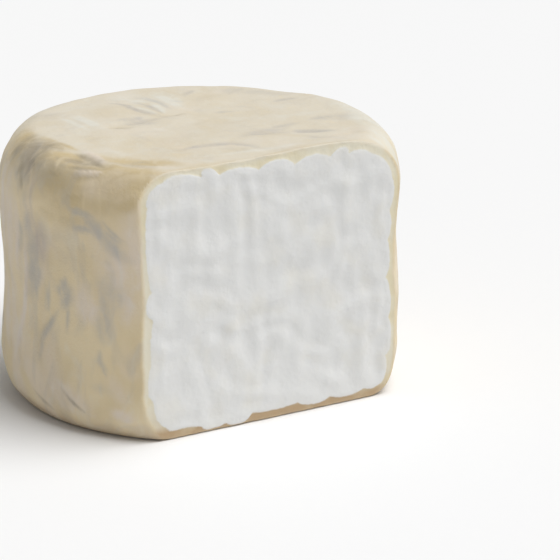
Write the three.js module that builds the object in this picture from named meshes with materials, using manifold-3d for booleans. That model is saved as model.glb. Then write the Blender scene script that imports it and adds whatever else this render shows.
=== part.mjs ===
// A small, tall soft-ripened cheese wheel with one slice cut off its side.
// Millimetres, +Z up. The origin is where the wheel's axis meets what it stands
// on, and the cut face looks along -Y.

import * as THREE from "three";
import { ImprovedNoise } from "three/addons/math/ImprovedNoise.js";
import { mergeVertices } from "three/addons/utils/BufferGeometryUtils.js";
import Module from "manifold-3d";

// The wheel
const wheelDiameter = 88;
const wheelHeight = 59;
const shoulderWidth = 8.6; // rounding between the side and the top
const tightShoulderWidth = 5.5; // the same, beside the left end of the cut
const shoulderDroop = 1.25; // the shoulder's height for its width
const footWidth = 4.8; // rounding between the side and the base
const footHeight = 11;
const waistDepth = 0.5; // how far the side draws in at mid height

// The cut. The curds stand out of it, less so close to the rind, where the knife pressed them flat.
const cutDistance = 30; // from the wheel's axis to the cut face
const curdHeight = 0.75;
const curdWidth = 4.6; // from one curd to the next, across the cut face
const curdLength = 7.2; // the same, up the cut face
const curdStray = 0.9; // how far the rows of curds stray from straight lines, in curds
const strayWidth = 10;
const strayLength = 12;
const lumpWidth = 4.2; // lumps that come and go among the rows
const lumpLength = 6;
const lumpShare = 0.65;
const pressedBand = 3;

// The rind: slow swells from the mould, as waves that cross, wrinkles from ripening, and a few deeper
// folds, which have a height below 0
const swells = [
  { direction: [0.8, 0.5, 0.33], length: 41, height: 0.2, start: 5.64 },
  { direction: [-0.45, 0.85, 0.27], length: 29, height: 0.12, start: 0.7 },
  { direction: [0.3, -0.35, 0.89], length: 23, height: 0.16, start: 3.1 },
  { direction: [-0.7, -0.6, 0.4], length: 17, height: 0.07, start: 1.7 },
  { direction: [0.5, -0.8, 0.1], length: 37, height: 0.11, start: 1 },
];
const wrinkleHeight = 0.3;
const wrinkleSize = 9;
const flatBaseHeight = 3; // below this the relief fades out, so that the wheel stands flat
const folds = [
  // on the front of the shoulder, with the skin raised above and below it
  { path: [[-38.5, -5.5, 58], [-36.2, -10, 58.3], [-34.5, -20, 58.6]], width: 2.2, height: -0.55 },
  { path: [[-31.8, -5, 59], [-32.4, -15, 59], [-32, -21, 59]], width: 1.7, height: 0.45 },
  { path: [[-41, -4, 57], [-40.5, -8, 56.8], [-39.5, -12, 56.8]], width: 2.4, height: 0.35 },
  { path: [[-38.9, -14.4, 57.3], [-37.3, -17.4, 57.8], [-35.4, -20.6, 58]], width: 1.3, height: 0.3 },
  // down the left of the shoulder
  { path: [[-35.8, 7.4, 58.6], [-41.1, 1.6, 55.4], [-43.3, -2.8, 52.4]], width: 3, height: -0.85 },
  // across the top
  { path: [[-19, 5.9, 59], [-12.3, 8.8, 59], [1.7, 11.1, 59]], width: 2.2, height: -0.3 },
  { path: [[-15, -14, 59], [-2.6, -17.4, 59], [1, -26, 59]], width: 1.5, height: -0.25 },
  { path: [[4.6, -13.9, 59], [12, -13.9, 59], [23, -19.5, 59]], width: 1.4, height: -0.25 },
  // down the left of the side
  { path: [[-42, -11, 27], [-43, -6.6, 22], [-43.3, -4.5, 16], [-43.4, -6.4, 10]], width: 1.8, height: -0.3 },
  // on the back of the shoulder and of the foot
  { path: [[12, 37, 58.5], [18, 39, 54.5], [20, 39, 48.5]], width: 2.4, height: -0.6 },
  { path: [[-28, 34, 5], [-20, 39, 9], [-9, 43, 8]], width: 2, height: -0.7 },
];

// Fineness of the mesh
const skinDetail = 19;
const outlineSteps = 120;
const curdStepAcross = 1.6;
const curdStepUp = 2.2;

const wheelRadius = wheelDiameter / 2;
const halfCutWidth = Math.sqrt(wheelRadius ** 2 - cutDistance ** 2);
const leftEndOfCut = Math.atan2(-cutDistance, -halfCutWidth);
const tightShoulderSpread = THREE.MathUtils.degToRad(35);
const perlin = new ImprovedNoise();

/** The shoulder's width at an azimuth of the wheel. */
function shoulderAt(azimuth) {
  const turn = THREE.MathUtils.euclideanModulo(azimuth - leftEndOfCut + Math.PI, 2 * Math.PI) - Math.PI;
  const closeness = Math.exp(-((turn / tightShoulderSpread) ** 2));
  return THREE.MathUtils.lerp(shoulderWidth, tightShoulderWidth, closeness);
}

/** Half of the wheel's section as (radius, height) points, from the middle of the top to that of the base. */
function halfSection(shoulder) {
  const drop = shoulder * shoulderDroop;
  const shoulderFoot = wheelHeight - drop;
  const middle = (shoulderFoot + footHeight) / 2;
  const section = new THREE.Path();
  section.moveTo(0, wheelHeight);
  section.lineTo(wheelRadius - shoulder, wheelHeight);
  section.absellipse(wheelRadius - shoulder, shoulderFoot, shoulder, drop, Math.PI / 2, 0, true);
  section.quadraticCurveTo(wheelRadius - 2 * waistDepth, middle, wheelRadius, footHeight);
  section.absellipse(wheelRadius - footWidth, footHeight, footWidth, footHeight, 0, -Math.PI / 2, true);
  section.lineTo(0, 0);
  return section.getSpacedPoints(outlineSteps);
}

/**
 * Walks down a half section until `share` of the area that it sweeps lies behind.
 * Returns the (radius, height) place there and the section's outward direction.
 */
function placeOnSection(section, share) {
  const swept = [0];
  for (let i = 1; i < section.length; i++) {
    const [from, to] = [section[i - 1], section[i]];
    swept.push(swept[i - 1] + from.distanceTo(to) * (from.x + to.x));
  }
  const wanted = share * swept.at(-1);
  const step = Math.max(1, swept.findIndex((area) => area >= wanted));
  const [from, to] = [section[step - 1], section[step]];
  const along = (wanted - swept[step - 1]) / (swept[step] - swept[step - 1]);
  const outward = new THREE.Vector2(from.y - to.y, to.x - from.x).normalize();
  return { place: from.clone().lerp(to, along), outward };
}

/** How far the slow swells lift the rind at a point. */
function swellAt(point) {
  let lift = 0;
  for (const { direction, length, height, start } of swells) {
    const along = point.dot(new THREE.Vector3(...direction));
    lift += height * Math.sin((2 * Math.PI * along) / length + start);
  }
  return lift;
}

/** How far the wrinkles lift the rind at a point. */
function wrinkleAt(point) {
  return wrinkleHeight * perlin.noise(point.x / wrinkleSize, point.y / wrinkleSize, point.z / wrinkleSize);
}

/** How far the folds lift the rind at a point. */
function foldAt(point) {
  let lowest = 0;
  let highest = 0;
  const nearest = new THREE.Vector3();
  for (const { path, width, height } of folds) {
    for (let i = 1; i < path.length; i++) {
      const run = new THREE.Line3(new THREE.Vector3(...path[i - 1]), new THREE.Vector3(...path[i]));
      run.closestPointToPoint(point, true, nearest);
      const lift = height * Math.exp(-((nearest.distanceTo(point) / width) ** 2));
      lowest = Math.min(lowest, lift);
      highest = Math.max(highest, lift);
    }
  }
  return lowest + highest;
}

/** How far the rind stands out from the wheel's plain form at a point. */
function rindRelief(point) {
  const clearOfBase = THREE.MathUtils.smoothstep(point.z, 0, flatBaseHeight);
  return (swellAt(point) + wrinkleAt(point) + foldAt(point)) * clearOfBase;
}

/** The whole wheel as it came from the mould: a ball of even triangles drawn onto the wheel's form. */
function wholeWheel() {
  const geometry = new THREE.IcosahedronGeometry(1, skinDetail);
  geometry.deleteAttribute("normal");
  geometry.deleteAttribute("uv");
  const ball = mergeVertices(geometry);
  const positions = ball.attributes.position;
  for (let i = 0; i < positions.count; i++) {
    const point = new THREE.Vector3().fromBufferAttribute(positions, i);
    const azimuth = Math.atan2(point.y, point.x);
    const { place, outward } = placeOnSection(halfSection(shoulderAt(azimuth)), (1 - point.z) / 2);
    point.set(place.x * Math.cos(azimuth), place.x * Math.sin(azimuth), place.y);
    const relief = rindRelief(point);
    const radius = place.x + relief * outward.x;
    const height = place.y + relief * outward.y;
    positions.setXYZ(i, radius * Math.cos(azimuth), radius * Math.sin(azimuth), height);
  }
  return ball;
}

/** How far the curds stand out of the cut face at a place on it. */
function curdRelief(x, z) {
  const rindDistance = Math.min(halfCutWidth - Math.abs(x), z, wheelHeight - z);
  const unpressed = THREE.MathUtils.smoothstep(rindDistance, 0, pressedBand);
  const across = x / curdWidth + curdStray * perlin.noise(x / strayWidth, 2, z / strayLength);
  const up = z / curdLength + curdStray * perlin.noise(x / strayWidth, 5, z / strayLength);
  const rows = Math.cos(2 * Math.PI * across) + Math.cos(2 * Math.PI * up);
  const lumps = perlin.noise(x / lumpWidth, 8, z / lumpLength);
  return curdHeight * unpressed * (((1 - lumpShare) * rows) / 2 + lumpShare * lumps);
}

/** What the knife took away: a block whose face towards the wheel holds the curds' relief. */
function cutAway() {
  const margin = 4;
  const width = 2 * (halfCutWidth + margin);
  const depth = wheelRadius - cutDistance + margin;
  const height = wheelHeight + 2 * margin;
  const across = Math.round(width / curdStepAcross);
  const up = Math.round(height / curdStepUp);
  const geometry = new THREE.BoxGeometry(width, depth, height, across, 1, up);
  geometry.translate(0, -depth / 2, wheelHeight / 2);
  geometry.deleteAttribute("normal");
  geometry.deleteAttribute("uv");
  const block = mergeVertices(geometry);
  const positions = block.attributes.position;
  for (let i = 0; i < positions.count; i++) {
    const point = new THREE.Vector3().fromBufferAttribute(positions, i);
    const onFace = point.y > -depth / 2;
    const relief = onFace ? curdRelief(point.x, point.z) : 0;
    positions.setY(i, point.y - cutDistance - relief);
  }
  return block;
}

/** The solid that a closed geometry bounds. */
function solidOf(wasm, geometry) {
  const vertProperties = new Float32Array(geometry.attributes.position.array);
  const triVerts = new Uint32Array(geometry.index.array);
  return new wasm.Manifold(new wasm.Mesh({ numProp: 3, vertProperties, triVerts }));
}

/** A solid's surface as a geometry. */
function geometryOf(solid) {
  const { vertProperties, triVerts } = solid.getMesh();
  const geometry = new THREE.BufferGeometry();
  geometry.setAttribute("position", new THREE.BufferAttribute(vertProperties, 3));
  geometry.setIndex(new THREE.BufferAttribute(triVerts, 1));
  geometry.computeVertexNormals();
  return geometry;
}

const wasm = await Module();
wasm.setup();

const bloomyRind = new THREE.MeshStandardMaterial({ color: 0xd8ccb0, roughness: 0.85, metalness: 0 });
const cutWheel = solidOf(wasm, wholeWheel()).subtract(solidOf(wasm, cutAway()));
const cheese = new THREE.Mesh(geometryOf(cutWheel), bloomyRind);
cheese.name = "cheese_wheel";

const part = new THREE.Group();
part.add(cheese);

export default part;
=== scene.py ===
"""A small, tall soft-ripened cheese wheel, cut to show its curd, as an add-on that is run as a script."""

import math
import random

import bmesh
import bpy
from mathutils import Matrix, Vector, kdtree, noise


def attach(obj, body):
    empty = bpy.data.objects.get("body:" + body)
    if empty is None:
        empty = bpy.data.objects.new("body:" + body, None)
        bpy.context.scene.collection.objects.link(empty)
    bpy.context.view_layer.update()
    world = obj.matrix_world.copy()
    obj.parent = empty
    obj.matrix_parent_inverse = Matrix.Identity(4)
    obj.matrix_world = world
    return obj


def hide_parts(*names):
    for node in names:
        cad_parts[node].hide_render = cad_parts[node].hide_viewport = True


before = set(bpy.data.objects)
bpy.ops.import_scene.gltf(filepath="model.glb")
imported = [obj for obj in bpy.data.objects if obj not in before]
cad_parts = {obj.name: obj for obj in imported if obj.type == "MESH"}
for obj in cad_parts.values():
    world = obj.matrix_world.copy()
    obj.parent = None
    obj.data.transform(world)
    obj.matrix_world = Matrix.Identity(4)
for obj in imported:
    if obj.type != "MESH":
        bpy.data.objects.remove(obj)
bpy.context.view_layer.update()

bl_info = {
    "name": "Cut Cheese Wheel",
    "version": (1, 0, 0),
    "blender": (4, 5, 0),
    "location": "View3D > Sidebar > Cheese",
    "description": "Makes a ripened cheese wheel with a bloomy rind, cut to show its curd",
    "category": "Add Mesh",
}

NODE = "cheese_wheel"
BODY = "root"
MM = 0.001
PICTURE_SIDE = 560  # the picture is square, this many pixels a side


def colour(red, green, blue):
    """The scene-linear colour of a red, green and blue from 0 to 255 as a screen shows them."""
    shares = (channel / 255 for channel in (red, green, blue))
    return tuple(c / 12.92 if c < 0.04045 else ((c + 0.055) / 1.055) ** 2.4 for c in shares)


def length(name, description, millimetres):
    """A property for a size."""
    return bpy.props.FloatProperty(
        name=name, description=description, default=millimetres * MM, min=0, unit="LENGTH", precision=5
    )


def tint(name, description, red, green, blue):
    """A property for a colour."""
    return bpy.props.FloatVectorProperty(
        name=name, description=description, default=colour(red, green, blue), min=0, max=1, subtype="COLOR"
    )


# ---------------------------------------------------------------- what a user may change


class CheeseShape(bpy.types.PropertyGroup):
    """Sizes of the wheel and of its cut."""

    diameter: length("Diameter", "Across the whole wheel", 88)
    height: length("Height", "From the base to the top", 59)
    shoulder: length("Shoulder", "Width of the rounding between the side and the top", 8.6)
    tight_shoulder: length("Tight Shoulder", "The shoulder's width beside the left end of the cut", 5.5)
    droop: bpy.props.FloatProperty(
        name="Droop", description="Height of the shoulder for its width", default=1.25, min=0
    )
    foot: length("Foot", "Width of the rounding between the side and the base", 4.8)
    foot_height: length("Foot Height", "How high up the side the foot's rounding reaches", 11)
    waist: length("Waist", "How far the side draws in at mid height", 0.5)
    cut: length("Cut", "From the wheel's axis to the cut face", 30)
    wrinkle: length("Wrinkles", "How high the skin's wrinkles stand", 0.35)
    curd: length("Curds", "How far the curds stand out of the cut face", 0.75)
    grid: bpy.props.IntProperty(
        name="Grid", description="Quads along each of the starting cube's edges", default=126, min=8, max=128
    )


class CheeseColours(bpy.types.PropertyGroup):
    """Colours of the rind and of the curd."""

    side: tint("Side", "The rind's tan on the side of the wheel", 226, 209, 173)
    top: tint("Top", "The rind's cream on the top of the wheel", 216, 207, 188)
    rubbed: tint("Rubbed", "Tan where the down is rubbed off", 200, 180, 138)
    blush: tint("Blush", "Faintly pink down on the side", 224, 211, 196)
    bloom: tint("Bloom", "White down", 221, 219, 208)
    grey: tint("Grey Bloom", "Grey-green mould under the down", 184, 179, 170)
    lilac: tint("Lilac Bloom", "Lilac-grey mould under the down", 184, 172, 163)
    # The crease colour is painted shade: it darkens the bottom of folds, cracks and dents, and parts of the
    # shoulder.
    crease_shade: tint("Crease", "The bottom of folds and cracks", 153, 140, 116)
    foot: tint("Foot", "The damp rind at the base", 186, 160, 126)
    band: tint("Cut Rind", "The rind where it is cut through", 223, 213, 183)
    pale_band: tint("Pale Cut Rind", "The same where it is thick and dry", 225, 219, 199)
    curd: tint("Curd", "The paste", 226, 226, 224)


class CheeseStage(bpy.types.PropertyGroup):
    """The floor, the light and the camera."""

    floor: tint("Floor", "Colour of the floor", 240, 240, 240)
    fill: bpy.props.FloatProperty(
        name="Fill", description="Strength of the light from all round", default=0.3, min=0
    )
    key: bpy.props.FloatProperty(
        name="Key", description="Strength of the broad soft light overhead", default=2.75, min=0
    )


# ---------------------------------------------------------------- the wheel's form

# Slow swells of the rind: crossing waves, each with its direction, its length and height in
# millimetres, and where it starts.
SWELLS = (
    ((0.8, 0.5, 0.33), 41, 0.2, 5.64),
    ((-0.45, 0.85, 0.27), 29, 0.12, 0.7),
    ((0.3, -0.35, 0.89), 23, 0.16, 3.1),
    ((-0.7, -0.6, 0.4), 17, 0.07, 1.7),
    ((0.5, -0.8, 0.1), 37, 0.11, 1),
)
FLAT_BASE = 3 * MM  # below this the relief fades out, so that the wheel stands flat
TIGHT_SPREAD = math.radians(35)
HEART = 20 * MM  # how far behind the axis lies the point towards which the cut presses the mesh flat
SNAP = 0.12 * MM  # verts as near as this to the knife's plane are moved onto it

# The skin's own wrinkles, broad and fine: from one to the next, and their share of the height.
BROAD_SIZE = 9 * MM
BROAD_SHARE = 0.8
FINE_SIZE = 3.2 * MM
FINE_SHARE = 0.22
FINE_SHIFT = Vector((7, 1, 3))  # keeps the fine wrinkles from lining up with the broad ones


def smoothstep(value, low, high):
    """0 below low, 1 above high, and smooth between them."""
    share = min(max((value - low) / (high - low), 0), 1)
    return share * share * (3 - 2 * share)


def shoulder_at(shape, azimuth):
    """The shoulder's width at an azimuth of the wheel."""
    left_end = math.atan2(-shape.cut, -math.sqrt((shape.diameter / 2) ** 2 - shape.cut**2))
    turn = (azimuth - left_end + math.pi) % (2 * math.pi) - math.pi
    closeness = math.exp(-((turn / TIGHT_SPREAD) ** 2))
    return shape.shoulder + (shape.tight_shoulder - shape.shoulder) * closeness


def quarter_bend(out, up):
    """The length of a quarter of an ellipse that is `out` wide and `up` high, closely enough."""
    return math.pi / 2 * math.sqrt((out**2 + up**2) / 2)


def on_bend(turn, out, up):
    """The place on a quarter bend, and the outward direction there, from its top (0) to its side (pi / 2)."""
    sin, cos = math.sin(turn), math.cos(turn)
    steepness = math.hypot(up * sin, out * cos)
    return out * sin, up * cos, up * sin / steepness, out * cos / steepness


def section(shape, azimuth, share):
    """A place on half of the wheel's section, at a share of its length from the middle of the top.

    Returns its radius and height, and the radius and height of the outward direction there.
    """
    radius = shape.diameter / 2
    shoulder = shoulder_at(shape, azimuth)
    drop = shoulder * shape.droop
    top = radius - shoulder
    bend = quarter_bend(shoulder, drop)
    side = shape.height - drop - shape.foot_height
    foot_bend = quarter_bend(shape.foot, shape.foot_height)
    base = radius - shape.foot
    along = share * (top + bend + side + foot_bend + base)
    if along < top:
        return along, shape.height, 0, 1
    along -= top
    if along < bend:
        out, up, to_side, to_top = on_bend(along / bend * math.pi / 2, shoulder, drop)
        return top + out, shape.height - drop + up, to_side, to_top
    along -= bend
    if along < side:
        draw_in = shape.waist * 4 * (along / side) * (1 - along / side)
        return radius - draw_in, shape.height - drop - along, 1, 0
    along -= side
    if along < foot_bend:
        turn = (1 - along / foot_bend) * math.pi / 2
        out, up, to_side, to_top = on_bend(turn, shape.foot, shape.foot_height)
        return base + out, shape.foot_height - up, to_side, -to_top
    return base - (along - foot_bend), 0, 0, -1


def on_rind(shape, azimuth, share):
    """The place on the wheel's plain form at an azimuth and a share of its section."""
    radius, height, _, _ = section(shape, azimuth, share)
    return Vector((radius * math.cos(azimuth), radius * math.sin(azimuth), height))


def swell(place):
    """How far the slow swells lift the rind at a place."""
    total = 0
    for direction, wavelength, height, start in SWELLS:
        total += height * math.sin(2 * math.pi * place.dot(Vector(direction)) / (wavelength * MM) + start)
    return total * MM


def wrinkle(shape, place):
    """How far the skin's own wrinkles lift it at a place."""
    broad = noise.noise(place / BROAD_SIZE)
    fine = noise.noise(place / FINE_SIZE + FINE_SHIFT)
    return shape.wrinkle * (BROAD_SHARE * broad + FINE_SHARE * fine)


def shape_wheel(bm, shape):
    """Draws a finely divided cube out into the whole wheel, as it came from the mould."""
    for vert in bm.verts:
        ball = Vector(math.tan(c * math.pi / 4) for c in vert.co).normalized()
        azimuth = math.atan2(ball.y, ball.x)
        share = math.acos(max(-1, min(1, ball.z))) / math.pi
        radius, height, out, up = section(shape, azimuth, share)
        cos, sin = math.cos(azimuth), math.sin(azimuth)
        place = Vector((radius * cos, radius * sin, height))
        relief = (swell(place) + wrinkle(shape, place)) * smoothstep(height, 0, FLAT_BASE)
        vert.co = place + relief * Vector((out * cos, out * sin, up))


def cut_wheel(bm, shape):
    """Divides the wheel along the knife's plane and presses what lies beyond it flat onto the plane.

    Returns the verts of the cut's edge and those inside the cut face.
    """
    made = bmesh.ops.bisect_plane(
        bm,
        geom=bm.verts[:] + bm.edges[:] + bm.faces[:],
        dist=SNAP,
        plane_co=(0, -shape.cut, 0),
        plane_no=(0, -1, 0),
        use_snap_center=True,
    )
    edge = [element for element in made["geom_cut"] if isinstance(element, bmesh.types.BMVert)]
    on_edge = set(edge)
    heart = Vector((0, HEART, shape.height / 2))
    face = []
    for vert in bm.verts:
        if vert.co.y < -shape.cut and vert not in on_edge:
            vert.co = heart + (vert.co - heart) * (shape.cut + HEART) / (HEART - vert.co.y)
            face.append(vert)
    return edge, face


# ---------------------------------------------------------------- the paste's edge under the rind

# The curds on the cut face, in millimetres: rows and columns that stray, with lumps among them. The
# columns stand out in some patches more than in others.
CURD_WIDTH = 4.6
CURD_LENGTH = 7.2
STRAY = 0.9  # how far rows and columns stray from straight lines, in curds
STRAY_WIDTH = 10
STRAY_LENGTH = 12
PATCH_SIZE = 13
COLUMN_SHARE = 0.15
ROW_SHARE = 0.125
LUMP_SHARE = 0.65
LUMP_WIDTH = 4.2
LUMP_LENGTH = 6
LEAST_RELIEF = 0.2  # what is left of the relief at the rind, where the knife pressed the curds flat
PRESSED_BAND = 3

# The paste stands proud of its rind. The step runs between two depths inside the paste, in
# millimetres, and strays raggedly.
PROUD = 0.2 * MM
PROUD_FROM = -0.4
PROUD_TO = 0.35
RAGGED = 0.18
RAGGED_SIZE = 1.3 * MM
LOBE_SHAPE = 0.6  # the power of a half sine: the lower, the blunter the lobes
ON_RIND = -6  # the paste's layer on the rind, well outside the paste

EDGE_PASSES = 2
EDGE_SMOOTHING = 0.4
EDGE_LIFT = 0.2 * MM  # how far the knife leaves the cut's lower edge clear of the table
EDGE_LIFT_DEPTH = 1.6 * MM
EDGE_LIFT_HEIGHT = 4 * EDGE_LIFT

# The paste meets the rind in lobes with a sharp notch between each two. Each notch is given by its
# x and z on the cut face, how deep under the skin it lies, and how deep the lobe that follows it
# lies, all in millimetres, clockwise as one looks at the cut.
NOTCHES = (
    (-27, 2.5, 2.6, 2.0),
    (-31, 8.5, 2.5, 1.2),
    (-31, 17, 2.3, 2.1),
    (-31, 27.3, 2.8, 0.6),
    (-31, 33.6, 2.2, 1.2),
    (-31, 52, 2.0, 1.4),
    (-27, 57, 1.7, 0.9),
    (-18.9, 59, 2.4, 0.2),
    (-14.2, 59, 2.4, 1.4),
    (-3.7, 59, 3.0, 1.2),
    (6.4, 59, 3.7, 1.8),
    (15.9, 59, 3.2, 1.1),
    (21.2, 59, 2.8, 1.7),
    (27, 57, 2.1, 1.8),
    (32, 50, 1.9, 1.4),
    (32, 43, 2.4, 1.3),
    (32, 36, 2.0, 1.2),
    (32, 27, 2.6, 1.4),
    (32, 17, 2.2, 1.1),
    (31, 8, 2.6, 1.5),
    (26, 0, 2.6, 1.5),
    (16, 0, 2.2, 1.3),
    (7, 0, 2.6, 1.9),
    (-5.7, 0, 2.4, 0.1),
    (-12.3, 0, 1.4, 0.5),
    (-18.5, 0, 1.4, 2.0),
)


def bearing(shape, x, z):
    """The direction of a place on the cut face from its middle, growing clockwise."""
    return math.atan2(x, z - shape.height / 2)


def rind_depth(shape, x, z):
    """How deep under the skin the paste starts, in the direction of a place on the cut face."""
    notches = sorted((bearing(shape, nx * MM, nz * MM), deep, lobe) for nx, nz, deep, lobe in NOTCHES)
    wanted = bearing(shape, x, z)
    ahead = next((i for i, notch in enumerate(notches) if notch[0] > wanted), 0)
    start, deep_start, lobe = notches[ahead - 1]
    end, deep_end, _ = notches[ahead]
    share = ((wanted - start) % (2 * math.pi)) / ((end - start) % (2 * math.pi))
    notch = deep_start + (deep_end - deep_start) * share
    swelling = math.sin(math.pi * share) ** LOBE_SHAPE
    return (notch + (lobe - notch) * swelling) * MM


def finder(verts):
    """A tree that finds which of some verts lie near a place."""
    tree = kdtree.KDTree(len(verts))
    for vert in verts:
        tree.insert(vert.co, vert.index)
    tree.balance()
    return tree


def measure_paste(shape, edge, face):
    """How far each vert of the cut face lies inside the paste, in millimetres, by its index."""
    rim = finder(edge)
    inside = {vert.index: -rind_depth(shape, vert.co.x, vert.co.z) / MM for vert in edge}
    for vert in face:
        depth = rim.find(vert.co)[2]
        ragged = RAGGED * noise.noise(vert.co / RAGGED_SIZE)
        inside[vert.index] = (depth - rind_depth(shape, vert.co.x, vert.co.z)) / MM + ragged
    return inside


def curd_relief(x, z):
    """How far the curds stand out, as a share, at a place on the cut face in millimetres."""

    def noise_at(width, length, layer):
        return noise.noise(Vector((x / width, layer, z / length)))

    across = x / CURD_WIDTH + STRAY * noise_at(STRAY_WIDTH, STRAY_LENGTH, 2)
    up = z / CURD_LENGTH + STRAY * noise_at(STRAY_WIDTH, STRAY_LENGTH, 5)
    strength = 0.5 + noise_at(PATCH_SIZE, PATCH_SIZE, 9)
    columns = COLUMN_SHARE * math.cos(2 * math.pi * across) * strength
    rows = ROW_SHARE * math.cos(2 * math.pi * up)
    return columns + rows + LUMP_SHARE * noise_at(LUMP_WIDTH, LUMP_LENGTH, 8)


def measure_edge(bm, edge, inside):
    """How far each vert lies from the cut's edge in millimetres, below 0 on the rind."""
    rim = finder(edge)
    sides = ((1 if vert.index in inside else -1) for vert in bm.verts)
    return [side * rim.find(vert.co)[2] / MM for side, vert in zip(sides, bm.verts)]


def raise_curds(shape, face, inside):
    """Lets the curds stand out of the cut face, and the paste stand a little proud of its rind."""
    for vert in face:
        depth = inside[vert.index]
        unpressed = LEAST_RELIEF + (1 - LEAST_RELIEF) * smoothstep(depth, 0, PRESSED_BAND)
        proud = PROUD * smoothstep(depth, PROUD_FROM, PROUD_TO)
        vert.co.y -= shape.curd * curd_relief(vert.co.x / MM, vert.co.z / MM) * unpressed + proud


def round_edge(bm, edge):
    """Takes the sharpness off the cut's edge, and lifts its lower side a little clear of the table."""
    near = {vert for rim in edge for link in rim.link_edges for vert in link.verts}
    for _ in range(EDGE_PASSES):
        bmesh.ops.smooth_vert(
            bm, verts=list(near), factor=EDGE_SMOOTHING, use_axis_x=True, use_axis_y=True, use_axis_z=True
        )
    front = min(vert.co.y for vert in edge)
    for vert in bm.verts:
        behind = smoothstep(vert.co.y, front + EDGE_LIFT_DEPTH, front)
        vert.co.z += EDGE_LIFT * behind**2 * smoothstep(vert.co.z, EDGE_LIFT_HEIGHT, 0)


# ---------------------------------------------------------------- marks on the rind

# Folds and dents of the skin: the half width and the depth, which is below 0 for a ridge, and the
# places that the fold runs through, all in millimetres.
FOLDS = (
    (2.2, 0.55, ((-38.5, -5.5, 58), (-36.2, -10, 58.3), (-35, -15, 58.4), (-34.5, -20, 58.6))),
    (1.7, -0.45, ((-31.8, -5, 59), (-32, -10, 59), (-32.4, -15, 59), (-32, -21, 59))),
    (3.0, 0.85, ((-35.8, 7.4, 58.6), (-38.8, 4.2, 57.3), (-41.1, 1.6, 55.4), (-43.3, -2.8, 52.4))),
    (2.4, -0.35, ((-41, -4, 57), (-40.5, -8, 56.8), (-39.5, -12, 56.8))),
    (1.3, -0.3, ((-38.9, -14.4, 57.3), (-37.3, -17.4, 57.8), (-35.4, -20.6, 58))),
    (2.2, 0.3, ((-19, 5.9, 59), (-12.3, 8.8, 59), (-5.2, 11, 59), (1.7, 11.1, 59))),
    (1.5, 0.25, ((-15, -14, 59), (-8, -16, 59), (-2.6, -17.4, 59), (0, -21.2, 59), (1, -26, 59))),
    (1.4, 0.25, ((4.6, -13.9, 59), (12, -13.9, 59), (18, -17, 59), (23, -19.5, 59))),
    (1.8, 0.3, ((-42, -11, 27), (-43, -6.6, 22), (-43.3, -4.5, 16), (-43.4, -6.4, 10))),
    (2.4, 0.6, ((12, 37, 58.5), (18, 39, 54.5), (20, 39, 48.5))),
    (2.0, 0.7, ((-28, 34, 5), (-20, 39, 9), (-9, 43, 8))),
)
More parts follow.
